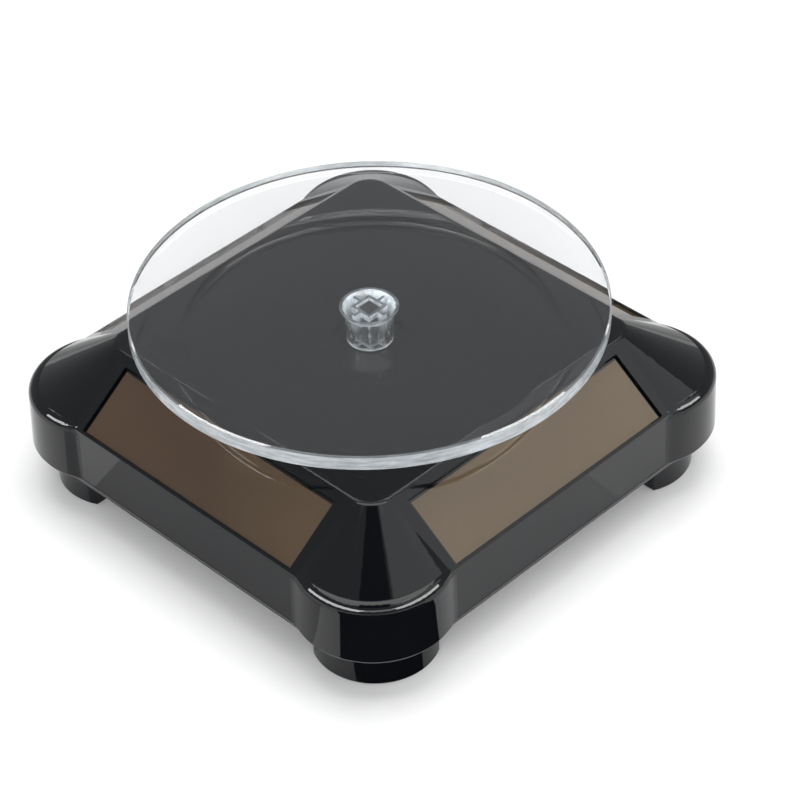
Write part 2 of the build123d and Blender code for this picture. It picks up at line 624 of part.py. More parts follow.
with BuildPart() as motor_can:
    with BuildSketch(MOTOR_PLANE.offset(MOTOR_CAP_TOP)):
        Circle(MOTOR_RADIUS)
    extrude(amount=MOTOR_TOP - MOTOR_CAP_TOP)
    fillet(motor_can.edges().group_by(Axis.Z)[-1], radius=MOTOR_WALL)
    with BuildSketch(MOTOR_PLANE.offset(MOTOR_TOP)):
        Circle(MOTOR_NOSE_RADIUS)
    extrude(amount=MOTOR_NOSE_HEIGHT)
    with BuildSketch(MOTOR_PLANE.offset(MOTOR_CAP_TOP)):
        Circle(MOTOR_RADIUS - MOTOR_WALL)
    extrude(amount=MOTOR_TOP - MOTOR_CAP_TOP - MOTOR_WALL, mode=Mode.SUBTRACT)
    with BuildSketch(MOTOR_PLANE.offset(MOTOR_CAP_TOP)):
        Circle(MOTOR_SHAFT_RADIUS + RUNNING_GAP)
    extrude(amount=MOTOR_TOP, mode=Mode.SUBTRACT)
motor_can.part.label = "motor_can"
export_step(motor_can.part, "parts/motor_can.step")

with BuildPart() as motor_end_cap:
    with BuildSketch(MOTOR_PLANE.offset(MOTOR_BOTTOM)):
        Circle(MOTOR_RADIUS)
    extrude(amount=MOTOR_CAP_TOP - MOTOR_BOTTOM)
    with BuildSketch(MOTOR_PLANE.offset(MOTOR_BOTTOM + MOTOR_WALL)):
        Circle(MOTOR_SHAFT_RADIUS + RUNNING_GAP)
    extrude(amount=MOTOR_CAP_TOP - MOTOR_BOTTOM, mode=Mode.SUBTRACT)
motor_end_cap.part.label = "motor_end_cap"
export_step(motor_end_cap.part, "parts/motor_end_cap.step")

# ---------------------------------------------------------------- gear plate
with BuildPart() as gear_plate:
    with BuildSketch(Plane.XY.offset(PLATE_BOTTOM)) as plate_outline:
        with BuildLine() as plate_rounds:
            for post in PLATE_POSTS:
                CenterArc(post, PLATE_POST_RADIUS + PLATE_MARGIN, 0, 360)
            CenterArc((0, 0), UPPER_BUSH_RADIUS + PLATE_MARGIN + BUSH_LIP, 0, 360)
        make_hull()
        Circle(UPPER_BUSH_RADIUS, mode=Mode.SUBTRACT)
        with Locations(*PLATE_POSTS):
            Circle(SMALL_SCREW_RADIUS, mode=Mode.SUBTRACT)
        with Locations(FIRST_AXIS, SECOND_AXIS):
            Circle(AXLE_RADIUS, mode=Mode.SUBTRACT)
    extrude(amount=PLATE_THICKNESS)
gear_plate.part.label = "gear_plate"
export_step(gear_plate.part, "parts/gear_plate.step")

# ---------------------------------------------------------------- base pan
with BuildPart() as bottom_housing:
    # Flange that closes the skirt from below, with a softened upper edge
    with BuildSketch(Plane.XY.offset(PAN_BOTTOM)) as flange_outline:
        Rectangle(2 * FLANGE_HALF, 2 * FLANGE_HALF)
        chamfer(flange_outline.vertices(), length=FLANGE_HALF - LOBE_CENTRE)
        with GridLocations(2 * LOBE_CENTRE, 2 * LOBE_CENTRE, 2, 2):
            Circle(LOBE_FOOT_RADIUS - FLANGE_LOBE_INSET)
        fillet(flange_outline.vertices(), radius=LOBE_BLEND)
    extrude(amount=SKIRT_BOTTOM - PAN_BOTTOM)
    fillet(bottom_housing.edges().group_by(Axis.Z)[-1], radius=FLANGE_ROUND)
    # Floor and the upright rim that locates it inside the skirt
    with BuildSketch(Plane.XY.offset(PAN_BOTTOM)):
        RectangleRounded(2 * PAN_HALF, 2 * PAN_HALF, PAN_HALF - LOBE_CENTRE)
        with GridLocations(2 * LOBE_CENTRE, 2 * LOBE_CENTRE, 2, 2):
            Circle(PAN_LOBE)
    extrude(amount=PAN_FLOOR + PAN_RIM_HEIGHT)
    with BuildSketch(Plane.XY.offset(PAN_TOP)):
        rim_inside = PAN_HALF - PAN_RIM_WIDTH
        RectangleRounded(2 * rim_inside, 2 * rim_inside, rim_inside - LOBE_CENTRE)
        with GridLocations(2 * LOBE_CENTRE, 2 * LOBE_CENTRE, 2, 2):
            Circle(PAN_LOBE - PAN_RIM_WIDTH)
    extrude(amount=PAN_RIM_HEIGHT, mode=Mode.SUBTRACT)
    # Feet: round outside, cut flat on their two inner sides
    with BuildSketch(Plane.XY.offset(FOOT_BOTTOM)):
        for corner_x, corner_y in CORNERS.values():
            with Locations((corner_x * FOOT_CENTRE, corner_y * FOOT_CENTRE)):
                Circle(FOOT_RADIUS)
        Rectangle(2 * FOOT_INNER_FACE, 4 * FOOT_CENTRE, mode=Mode.SUBTRACT)
        Rectangle(4 * FOOT_CENTRE, 2 * FOOT_INNER_FACE, mode=Mode.SUBTRACT)
    extrude(amount=PAN_BOTTOM - FOOT_BOTTOM)
    fillet(bottom_housing.edges().group_by(Axis.Z)[0], radius=FOOT_EDGE_ROUND)
    # Pad recess, screw well and screw hole in each foot
    for height, radius, depth in (
        (FOOT_BOTTOM, PAD_RADIUS + PAD_GAP, PAD_THICKNESS - FOOT_BOTTOM),
        (FOOT_BOTTOM, SCREW_WELL_RADIUS, PAN_BOTTOM - FOOT_BOTTOM),
        (PAN_BOTTOM, SCREW_CLEARANCE_RADIUS, PAN_FLOOR),
    ):
        with BuildSketch(Plane.XY.offset(height)):
            with GridLocations(2 * SCREW_PLACE, 2 * SCREW_PLACE, 2, 2):
                Circle(radius)
        extrude(amount=depth, mode=Mode.SUBTRACT)
    # Battery bay: a roofed box over a door opening, on a thicker strip that holds the door's track
    bay_plane = Plane(origin=(0, BATTERY_Y, 0))
    with BuildSketch(bay_plane.offset(PAN_TOP)):
        with Locations((DOOR_TRAVEL / 2, 0)):
            Rectangle(
                2 * (DOOR_HALF_LENGTH + BAY_WALL) + DOOR_TRAVEL,
                2 * (DOOR_HALF_WIDTH + TONGUE_REACH + BAY_WALL),
            )
    extrude(amount=TRACK_TOP + TRACK_ROOF - PAN_TOP)
    with BuildSketch(bay_plane.offset(PAN_TOP)):
        Rectangle(2 * (BAY_HALF_LENGTH + BAY_WALL), 2 * (BAY_HALF_WIDTH + BAY_WALL))
    extrude(amount=BAY_ROOF + BAY_ROOF_THICKNESS - PAN_TOP)
    with BuildSketch(bay_plane.offset(PAN_BOTTOM)):
        Rectangle(2 * BAY_HALF_LENGTH, 2 * BAY_HALF_WIDTH)
    extrude(amount=BAY_ROOF - PAN_BOTTOM, mode=Mode.SUBTRACT)
    with BuildSketch(bay_plane.offset(PAN_BOTTOM)):
        with Locations((DOOR_TRAVEL / 2, 0)):
            Rectangle(
                2 * (DOOR_HALF_LENGTH + DOOR_GAP) + DOOR_TRAVEL,
                2 * (DOOR_HALF_WIDTH + DOOR_GAP),
            )
        for side in (-1, 1):
            with Locations((side * TONGUE_OFFSET + DOOR_TRAVEL, 0)):
                Rectangle(TONGUE_LENGTH + NOTCH_MARGIN, 2 * (DOOR_HALF_WIDTH + TONGUE_REACH + DOOR_GAP))
    extrude(amount=TRACK_TOP - PAN_BOTTOM, mode=Mode.SUBTRACT)
    with BuildSketch(bay_plane.offset(TRACK_TOP - TONGUE_HEIGHT - 2 * RUNNING_GAP)):
        with Locations((DOOR_TRAVEL / 2, 0)):
            Rectangle(
                2 * (DOOR_HALF_LENGTH + DOOR_GAP) + DOOR_TRAVEL,
                2 * (DOOR_HALF_WIDTH + TONGUE_REACH + DOOR_GAP),
            )
    extrude(amount=TONGUE_HEIGHT + 2 * RUNNING_GAP, mode=Mode.SUBTRACT)
    with BuildSketch(Plane.YZ.offset(-BAY_HALF_LENGTH - 2 * BAY_WALL)):
        with Locations((BATTERY_Y, BATTERY_LEAD_HEIGHT)):
            Circle(LEAD_HOLE_RADIUS)
    extrude(amount=2 * (BAY_HALF_LENGTH + 2 * BAY_WALL), mode=Mode.SUBTRACT)
    # Bosses for the lower bush and the two gear axles
    with BuildSketch(Plane.XY.offset(PAN_TOP)):
        Circle(BUSH_BOSS_RADIUS)
    extrude(amount=LOWER_BUSH_TOP - BUSH_FLANGE - PAN_TOP)
    with BuildSketch(Plane.XY.offset(BUSH_SEAT)):
        Circle(LOWER_BUSH_RADIUS)
    extrude(amount=LOWER_BUSH_TOP - BUSH_SEAT, mode=Mode.SUBTRACT)
    for axis_place, pinion_bottom in (
        (FIRST_AXIS, FIRST_PINION_BOTTOM),
        (SECOND_AXIS, SECOND_PINION_BOTTOM),
    ):
        with BuildSketch(Plane.XY.offset(PAN_TOP)):
            with Locations(axis_place):
                Circle(AXLE_BOSS_RADIUS)
        extrude(amount=pinion_bottom - 2 * RUNNING_GAP - PAN_TOP)
        with BuildSketch(Plane.XY.offset(AXLE_BOTTOM)):
            with Locations(axis_place):
                Circle(AXLE_RADIUS)
        extrude(amount=pinion_bottom - AXLE_BOTTOM, mode=Mode.SUBTRACT)
    # Posts for the gear plate
    with BuildSketch(Plane.XY.offset(PAN_TOP)):
        with Locations(*PLATE_POSTS):
            Circle(PLATE_POST_RADIUS)
    extrude(amount=PLATE_BOTTOM - PAN_TOP)
    with BuildSketch(Plane.XY.offset(PLATE_TOP - SMALL_SCREW_LENGTH)):
        with Locations(*PLATE_POSTS):
            Circle(SMALL_SCREW_RADIUS)
    extrude(amount=SMALL_SCREW_LENGTH, mode=Mode.SUBTRACT)
    # Ring that grips the motor, open towards the circuit board
    with BuildSketch(MOTOR_PLANE.offset(PAN_TOP)):
        Circle(MOTOR_RADIUS + MOTOR_RING_WIDTH)
        Circle(MOTOR_RADIUS, mode=Mode.SUBTRACT)
        with Locations((MOTOR_RADIUS, 0)):
            Rectangle(MOTOR_RADIUS, MOTOR_RADIUS, mode=Mode.SUBTRACT)
    extrude(amount=MOTOR_RING_TOP - PAN_TOP)
    # Posts for the circuit board
    with BuildSketch(Plane.XY.offset(PAN_TOP)):
        with Locations((BOARD_X, BOARD_Y)):
            with GridLocations(BOARD_POST_SPACING_X, BOARD_POST_SPACING_Y, 2, 2):
                Circle(BOARD_POST_RADIUS)
                Circle(SMALL_SCREW_RADIUS, mode=Mode.SUBTRACT)
    extrude(amount=BOARD_BOTTOM - PAN_TOP)
bottom_housing.part.label = "bottom_housing"
export_step(bottom_housing.part, "parts/bottom_housing.step")

# ---------------------------------------------------------------- screws and pads
with BuildPart() as housing_screws:
    with BuildSketch(Plane.XY.offset(PAN_BOTTOM - SCREW_HEAD_HEIGHT)):
        with GridLocations(2 * SCREW_PLACE, 2 * SCREW_PLACE, 2, 2):
            Circle(SCREW_HEAD_RADIUS)
    extrude(amount=SCREW_HEAD_HEIGHT)
    with BuildSketch(Plane.XY.offset(PAN_BOTTOM)):
        with GridLocations(2 * SCREW_PLACE, 2 * SCREW_PLACE, 2, 2):
            Circle(SCREW_RADIUS)
    extrude(amount=SCREW_LENGTH)
    with BuildSketch(Plane.XY.offset(PAN_BOTTOM - SCREW_HEAD_HEIGHT)):
        with GridLocations(2 * SCREW_PLACE, 2 * SCREW_PLACE, 2, 2):
            Rectangle(2 * SCREW_RADIUS, SCREW_SLOT_WIDTH)
            Rectangle(SCREW_SLOT_WIDTH, 2 * SCREW_RADIUS)
    extrude(amount=SCREW_SLOT_DEPTH, mode=Mode.SUBTRACT)
housing_screws.part.label = "housing_screws"
export_step(housing_screws.part, "parts/housing_screws.step")

for pad_name, (corner_x, corner_y) in CORNERS.items():
    with BuildPart() as foot_pad:
        with BuildSketch():
            with Locations((corner_x * SCREW_PLACE, corner_y * SCREW_PLACE)):
                Circle(PAD_RADIUS)
        extrude(amount=PAD_THICKNESS)
    foot_pad.part.label = f"foot_pad_{pad_name}"
    export_step(foot_pad.part, f"parts/foot_pad_{pad_name}.step")

BOARD_POSTS = [
    (BOARD_X + side_x * BOARD_POST_SPACING_X / 2, BOARD_Y + side_y * BOARD_POST_SPACING_Y / 2)
    for side_x in (-1, 1)
    for side_y in (-1, 1)
]
SMALL_SCREW_SETS = {
    "gear_plate_screws": (PLATE_POSTS, PLATE_TOP, SMALL_SCREW_LENGTH),
    "board_screws": (BOARD_POSTS, BOARD_TOP, BOARD_SCREW_LENGTH),
}
for screw_name, (places, seat, length) in SMALL_SCREW_SETS.items():
    with BuildPart() as small_screws:
        with BuildSketch(Plane.XY.offset(seat)):
            with Locations(*places):
                Circle(SMALL_SCREW_HEAD_RADIUS)
                Rectangle(2 * SMALL_SCREW_RADIUS, SMALL_SCREW_SLOT, mode=Mode.SUBTRACT)
                Rectangle(SMALL_SCREW_SLOT, 2 * SMALL_SCREW_RADIUS, mode=Mode.SUBTRACT)
        extrude(amount=SMALL_SCREW_HEAD_HEIGHT)
        with BuildSketch(Plane.XY.offset(seat - length)):
            with Locations(*places):
                Circle(SMALL_SCREW_RADIUS)
        extrude(amount=length + SMALL_SCREW_HEAD_HEIGHT / 3)
    small_screws.part.label = screw_name
    export_step(small_screws.part, f"parts/{screw_name}.step")

# ---------------------------------------------------------------- battery, contacts and door
NUB_END = BAY_HALF_LENGTH - CONTACT_THICKNESS
BATTERY_RIGHT = NUB_END - BATTERY_NUB
BATTERY_LEFT = BATTERY_RIGHT - 2 * BATTERY_HALF_LENGTH

with BuildPart() as battery:
    with BuildSketch(Plane.YZ.offset(BATTERY_LEFT)):
        with Locations((BATTERY_Y, BATTERY_Z)):
            Circle(BATTERY_RADIUS)
    extrude(amount=2 * BATTERY_HALF_LENGTH)
    fillet(battery.edges().filter_by(GeomType.CIRCLE), radius=BATTERY_EDGE_ROUND)
    with BuildSketch(Plane.YZ.offset(BATTERY_RIGHT)):
        with Locations((BATTERY_Y, BATTERY_Z)):
            Circle(BATTERY_NUB_RADIUS)
    extrude(amount=BATTERY_NUB)
battery.part.label = "battery"
export_step(battery.part, "parts/battery.step")

with BuildPart() as battery_plate:
    with BuildSketch(Plane.YZ.offset(NUB_END)):
        with Locations((BATTERY_Y, BATTERY_Z)):
            Rectangle(CONTACT_SIZE, CONTACT_SIZE)
    extrude(amount=CONTACT_THICKNESS)
battery_plate.part.label = "battery_plate"
export_step(battery_plate.part, "parts/battery_plate.step")

# Negative contact: a coil standing on a plate, squeezed between the plate and the battery
SPRING_FOOT = -BAY_HALF_LENGTH + CONTACT_THICKNESS
COIL_LENGTH = BATTERY_LEFT - SPRING_FOOT - 2 * SPRING_WIRE
with BuildPart() as battery_spring:
    with BuildLine():
        coil = Helix(
            pitch=COIL_LENGTH / SPRING_TURNS,
            height=COIL_LENGTH,
            radius=SPRING_RADIUS,
            center=(SPRING_FOOT + SPRING_WIRE * SPRING_SINK, BATTERY_Y, BATTERY_Z),
            direction=(1, 0, 0),
        )
    with BuildSketch(Plane(origin=coil @ 0, z_dir=coil % 0)):
        Circle(SPRING_WIRE)
    sweep(is_frenet=True)
    with BuildSketch(Plane.YZ.offset(-BAY_HALF_LENGTH)):
        with Locations((BATTERY_Y, BATTERY_Z)):
            Rectangle(CONTACT_SIZE, CONTACT_SIZE)
    extrude(amount=CONTACT_THICKNESS)
battery_spring.part.label = "battery_spring"
export_step(battery_spring.part, "parts/battery_spring.step")

with BuildPart() as battery_door:
    with BuildSketch(bay_plane.offset(PAN_BOTTOM)):
        Rectangle(2 * DOOR_HALF_LENGTH, 2 * DOOR_HALF_WIDTH)
    extrude(amount=DOOR_THICKNESS)
    with BuildSketch(bay_plane.offset(PAN_BOTTOM + DOOR_THICKNESS - TONGUE_HEIGHT)):
        for side in (-1, 1):
            with Locations((side * TONGUE_OFFSET, 0)):
                Rectangle(TONGUE_LENGTH, 2 * (DOOR_HALF_WIDTH + TONGUE_REACH))
    extrude(amount=TONGUE_HEIGHT)
    with BuildSketch(bay_plane.offset(PAN_BOTTOM)):
        for groove in range(DOOR_GRIP_COUNT):
            with Locations((DOOR_GRIP_PLACE + groove * DOOR_GRIP_SPACING, 0)):
                SlotOverall(DOOR_GRIP_LENGTH, DOOR_GRIP_WIDTH, rotation=90)
    extrude(amount=DOOR_GRIP_DEPTH, mode=Mode.SUBTRACT)
battery_door.part.label = "battery_door"
export_step(battery_door.part, "parts/battery_door.step")

# ---------------------------------------------------------------- circuit board
with BuildPart() as circuit_board:
    with BuildSketch(Plane.XY.offset(BOARD_BOTTOM)):
        with Locations((BOARD_X, BOARD_Y)):
            Rectangle(BOARD_WIDTH, BOARD_LENGTH)
        with Locations(*BOARD_POSTS):
            Circle(SMALL_SCREW_RADIUS, mode=Mode.SUBTRACT)
    extrude(amount=BOARD_THICKNESS)
circuit_board.part.label = "circuit_board"
export_step(circuit_board.part, "parts/circuit_board.step")

with BuildPart() as storage_capacitor:
    with BuildSketch(Plane.XY.offset(BOARD_TOP)):
        with Locations(CAPACITOR_PLACE):
            Circle(CAPACITOR_RADIUS)
    extrude(amount=CAPACITOR_HEIGHT)
    fillet(storage_capacitor.edges().group_by(Axis.Z)[-1], radius=BATTERY_EDGE_ROUND)
storage_capacitor.part.label = "storage_capacitor"
export_step(storage_capacitor.part, "parts/storage_capacitor.step")

with BuildPart() as blocking_diode:
    with BuildSketch(Plane.XZ.offset(-DIODE_PLACE[1] - DIODE_LENGTH / 2)):
        with Locations((DIODE_PLACE[0], BOARD_TOP + DIODE_RADIUS)):
            Circle(DIODE_RADIUS)
    extrude(amount=DIODE_LENGTH)
blocking_diode.part.label = "blocking_diode"
export_step(blocking_diode.part, "parts/blocking_diode.step")

# ---------------------------------------------------------------- leads
# Each lead leaves the back of its panel square to the panel, then runs round the mechanism to the board
BACK_DEPTH = PANEL_SINK + PANEL_THICKNESS
PANEL_BACK = slope_plane(0, BACK_DEPTH).origin
PANEL_DROP = slope_plane(0, BACK_DEPTH + LEAD_DROP).origin
LEADS = {
    "panel_lead_right": [
        (PANEL_BACK.X, 0, PANEL_BACK.Z),
        (PANEL_DROP.X, 0, PANEL_DROP.Z),
        (38, 0, 20),
        (38, 0, BOARD_TOP),
    ],
    "panel_lead_rear": [
        (0, PANEL_BACK.X, PANEL_BACK.Z),
        (0, PANEL_DROP.X, PANEL_DROP.Z),
        (0, 38, 18),
        (31.5, 36, 18),
        (31.5, 3, 18),
        (31.5, 3, BOARD_TOP),
    ],
    "panel_lead_left": [
        (-PANEL_BACK.X, 0, PANEL_BACK.Z),
        (-PANEL_DROP.X, 0, PANEL_DROP.Z),
        (-37, 0, 13),
        (-31, -10, 13),
        (-31, -39, 13),
        (22, -39, 13),
        (28.5, -23, 18),
        (28.5, -20, 18),
        (28.5, -20, BOARD_TOP),
    ],
    "panel_lead_front": [
        (0, -PANEL_BACK.X, PANEL_BACK.Z),
        (0, -PANEL_DROP.X, PANEL_DROP.Z),
        (4, -38, 18),
        (30, -36, 18),
        (31.5, -20, 18),
        (31.5, -20, BOARD_TOP),
    ],
    "motor_lead": [
        (MOTOR_AXIS[0] + MOTOR_RADIUS, MOTOR_AXIS[1], MOTOR_CAP_TOP - 0.9),
        (MOTOR_AXIS[0] + MOTOR_RADIUS + 4, MOTOR_AXIS[1], MOTOR_CAP_TOP - 0.9),
        (21, -16, 18),
        (24.5, -14, 18),
        (24.5, -14, BOARD_TOP),
    ],
    "battery_lead_positive": [
        (BAY_HALF_LENGTH, BATTERY_Y, BATTERY_LEAD_HEIGHT),
        (BAY_HALF_LENGTH + 3, BATTERY_Y, BATTERY_LEAD_HEIGHT),
        (BAY_HALF_LENGTH + 3, 7, 18),
        (28.5, 3.5, 18),
        (28.5, 3.5, BOARD_TOP),
    ],
    "battery_lead_negative": [
        (-BAY_HALF_LENGTH, BATTERY_Y, BATTERY_LEAD_HEIGHT),
        (-BAY_HALF_LENGTH - 3, BATTERY_Y, BATTERY_LEAD_HEIGHT),
        (-BAY_HALF_LENGTH - 3, 12.6, 13),
        (20, 12.6, 13),
        (24.5, 8, 18.5),
        (24.5, -3, 18.5),
        (24.5, -3, BOARD_TOP),
    ],
}
for lead_name, places in LEADS.items():
    with BuildPart() as lead:
        with BuildLine():
            run = FilletPolyline(*places, radius=LEAD_BEND)
        with BuildSketch(Plane(origin=run @ 0, z_dir=run % 0)):
            Circle(LEAD_RADIUS)
        sweep()
    lead.part.label = lead_name
    export_step(lead.part, f"parts/{lead_name}.step")
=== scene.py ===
import json
import math

import bpy
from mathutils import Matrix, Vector


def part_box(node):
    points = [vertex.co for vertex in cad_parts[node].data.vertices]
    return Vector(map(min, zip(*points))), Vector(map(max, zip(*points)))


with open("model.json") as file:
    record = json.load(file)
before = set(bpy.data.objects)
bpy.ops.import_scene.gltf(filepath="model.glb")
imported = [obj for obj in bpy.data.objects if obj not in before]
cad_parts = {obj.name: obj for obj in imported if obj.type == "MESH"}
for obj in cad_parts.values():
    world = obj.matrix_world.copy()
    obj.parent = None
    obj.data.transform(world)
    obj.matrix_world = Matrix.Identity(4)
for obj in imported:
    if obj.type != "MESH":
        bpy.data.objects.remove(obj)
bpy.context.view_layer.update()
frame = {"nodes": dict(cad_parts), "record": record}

MM = 0.001

# ------------------------------------------------------------------ camera
# The camera stands in front of the front-right corner and looks down at the middle of the body.
CAMERA_TARGET = Vector((0.0, 0.0, 15.96 * MM))
CAMERA_DISTANCE = 560.6 * MM
CAMERA_AZIMUTH = math.radians(46.08)
CAMERA_ELEVATION = math.radians(39.43)
CAMERA_ROLL = math.radians(-2.15)
CAMERA_LENS = 132.27
CAMERA_SHIFT = (0.0344, -0.0042)


def make_camera():
    data = bpy.data.cameras.new("camera")
    camera = bpy.data.objects.new("camera", data)
    bpy.context.scene.collection.objects.link(camera)
    data.sensor_width = 36.0
    data.lens = CAMERA_LENS
    data.shift_x, data.shift_y = CAMERA_SHIFT
    data.clip_start = 0.01
    data.clip_end = 50.0
    az, el = CAMERA_AZIMUTH, CAMERA_ELEVATION
    back = Vector((math.sin(az) * math.cos(el), -math.cos(az) * math.cos(el), math.sin(el)))
    level = Vector((math.cos(az), math.sin(az), 0.0))
    upright = back.cross(level)
    right = level * math.cos(CAMERA_ROLL) + upright * math.sin(CAMERA_ROLL)
    up = back.cross(right)
    rotation = (right, up, back)
    camera.rotation_mode = "QUATERNION"
    matrix = camera.matrix_world.to_3x3()
    for column in range(3):
        for row in range(3):
            matrix[row][column] = rotation[column][row]
    camera.rotation_quaternion = matrix.to_quaternion()
    camera.location = CAMERA_TARGET + back * CAMERA_DISTANCE
    bpy.context.scene.camera = camera


make_camera()

# ------------------------------------------------------------------ node helpers


class Graph:
    """A material's node tree, with short calls for the nodes that the finishes share."""

    def __init__(self, name):
        self.material = bpy.data.materials.new(name)
        self.material.use_nodes = True
        self.tree = self.material.node_tree
        self.tree.nodes.clear()
        self.output = self.tree.nodes.new("ShaderNodeOutputMaterial")
        self.coords = self.tree.nodes.new("ShaderNodeTexCoord").outputs["Object"]

    def link(self, source, socket):
        self.tree.links.new(source, socket)

    def put(self, value, socket):
        """Sets a socket to a plain value, or links it where the value is another node's output."""
        if isinstance(value, bpy.types.NodeSocket):
            self.link(value, socket)
        else:
            socket.default_value = value

    def noise(self, scale, detail=3.0, roughness=0.5, stretch=None, distortion=0.0):
        """Noise in object space; scale is in waves per metre."""
        node = self.tree.nodes.new("ShaderNodeTexNoise")
        node.inputs["Scale"].default_value = scale
        node.inputs["Detail"].default_value = detail
        node.inputs["Roughness"].default_value = roughness
        node.inputs["Distortion"].default_value = distortion
        self.link(self.stretched(stretch), node.inputs["Vector"])
        return node.outputs["Fac"]

    def stretched(self, stretch):
        if stretch is None:
            return self.coords
        node = self.tree.nodes.new("ShaderNodeMapping")
        node.inputs["Scale"].default_value = stretch
        self.link(self.coords, node.inputs["Vector"])
        return node.outputs["Vector"]

    def axes(self, vector=None):
        """The X, Y and Z of a vector, or of the object coordinates."""
        node = self.tree.nodes.new("ShaderNodeSeparateXYZ")
        self.link(self.coords if vector is None else vector, node.inputs["Vector"])
        return node.outputs

    def ramp(self, value, low, high, low_value=0.0, high_value=1.0):
        """Maps a value from low..high to low_value..high_value, clamped."""
        node = self.tree.nodes.new("ShaderNodeMapRange")
        for name, number in (
            ("From Min", low), ("From Max", high), ("To Min", low_value), ("To Max", high_value),
        ):
            node.inputs[name].default_value = number
        self.put(value, node.inputs["Value"])
        return node.outputs["Result"]

    def math(self, operation, first, second):
        node = self.tree.nodes.new("ShaderNodeMath")
        node.operation = operation
        self.put(first, node.inputs[0])
        self.put(second, node.inputs[1])
        return node.outputs["Value"]

    def mix(self, factor, first, second):
        """Blend of two colours."""
        node = self.tree.nodes.new("ShaderNodeMix")
        node.data_type = "RGBA"
        self.put(factor, node.inputs[0])
        self.put(first, node.inputs[6])
        self.put(second, node.inputs[7])
        return node.outputs[2]

    def bump(self, height, strength, distance, normal=None):
        node = self.tree.nodes.new("ShaderNodeBump")
        node.inputs["Strength"].default_value = strength
        node.inputs["Distance"].default_value = distance
        self.link(height, node.inputs["Height"])
        if normal is not None:
            self.link(normal, node.inputs["Normal"])
        return node.outputs["Normal"]

    def principled(self, **inputs):
        node = self.tree.nodes.new("ShaderNodeBsdfPrincipled")
        for name, value in inputs.items():
            self.put(value, node.inputs[name.replace("_", " ")])
        return node.outputs["BSDF"]

    def blend(self, factor, first, second):
        """Blend of two shaders."""
        node = self.tree.nodes.new("ShaderNodeMixShader")
        self.put(factor, node.inputs[0])
        self.put(first, node.inputs[1])
        self.put(second, node.inputs[2])
        return node.outputs[0]

    def finish(self, shader):
        self.link(shader, self.output.inputs["Surface"])
        return self.material


def rgb(red, green, blue):
    return (red, green, blue, 1.0)


# ------------------------------------------------------------------ finishes
# Painted shade: the panels' black border stands for the shadowed gap round them; its width at the sides,
# and its height in Z at the upper edge, which is doubled at the lower edge
BORDER_WIDTH = 0.32 * MM
BORDER_RISE = 0.22 * MM
# Painted light: the panels' brown is painted from dark to pale between these places along X + Y, paler on the
# side where more light falls
SIDE_LIGHT_REACH = 75.0 * MM
# Painted highlight: a pale band along the edge of the base pan, just under the seam, and how softly it fades
SEAM_HIGHLIGHT = (9.05 * MM, 9.40 * MM)
SEAM_FADE = 0.08 * MM
# Levels of the clear hub where its painted highlight and glow sit: lower rim, flare and lip; HUB_TURN softens
# the change from inner to outer faces
HUB_RIM = (29.1 * MM, 29.5 * MM)
HUB_FLARE = (31.6 * MM, 33.6 * MM)
HUB_LIP = (34.85 * MM, 35.05 * MM)
HUB_TURN = 0.6 * MM


def gloss_black(name, seam_highlight_levels=None):
    """Polished black styrene: deep colour, faint sink waviness, hairline wipes and a little dust.

    The second argument gives the low and high level of a band along an edge that is painted pale as a
    highlight.
    """
    g = Graph(name)
    cloud = g.noise(45.0, 2.0)
    colour = g.mix(cloud, rgb(0.0022, 0.0027, 0.0034), rgb(0.0038, 0.0044, 0.0054))
    # Painted highlight: a pale band between the given levels, with a little random tone
    if seam_highlight_levels:
        level = g.axes()["Z"]
        low, high = seam_highlight_levels
        band = g.math(
            "MULTIPLY", g.ramp(level, low, low + SEAM_FADE), g.ramp(level, high - SEAM_FADE, high, 1.0, 0.0),
        )
        painted_highlight = g.math("MULTIPLY", band, g.ramp(cloud, 0.3, 0.7, 0.5, 1.0))
        colour = g.mix(painted_highlight, colour, rgb(0.10, 0.10, 0.11))
    wipes = g.noise(260.0, 3.0, stretch=(1.0, 9.0, 3.0))
    dust = g.ramp(g.noise(2600.0, 1.0), 0.70, 0.78, 0.0, 0.10)
    roughness = g.math("ADD", g.ramp(wipes, 0.35, 0.75, 0.035, 0.075), dust)
    wave = g.bump(g.noise(38.0, 1.0), 0.06, 0.0012)
    grain = g.bump(g.noise(1500.0, 2.0), 0.02, 0.00005, wave)
    shader = g.principled(
        Base_Color=colour, Roughness=roughness, IOR=1.50, Specular_IOR_Level=0.32, Normal=grain,
    )
    return g.finish(shader)


def panel_gap_shade(g, axes):
    """Painted shade: a black line along the four edges of each tapering panel, for the shadowed gap round it;
    all four panels are alike.
    """
    mesh = frame["nodes"]["solar_panel_front"].data
    low = min(vertex.co.z for vertex in mesh.vertices)
    high = max(vertex.co.z for vertex in mesh.vertices)
    low_half = max(abs(vertex.co.x) for vertex in mesh.vertices)
    high_half = max(abs(vertex.co.x) for vertex in mesh.vertices if vertex.co.z > high - BORDER_RISE)
    across = g.math("MINIMUM", g.math("ABSOLUTE", axes["X"], 0.0), g.math("ABSOLUTE", axes["Y"], 0.0))
    half = g.ramp(axes["Z"], low, high, low_half, high_half)
    side = g.ramp(g.math("SUBTRACT", half, across), BORDER_WIDTH, 1.3 * BORDER_WIDTH, 1.0, 0.0)
    foot = g.ramp(axes["Z"], low + 2.0 * BORDER_RISE, low + 2.3 * BORDER_RISE, 1.0, 0.0)
    head = g.ramp(axes["Z"], high - 1.3 * BORDER_RISE, high - BORDER_RISE, 0.0, 1.0)
    return g.math("MAXIMUM", side, g.math("MAXIMUM", foot, head))


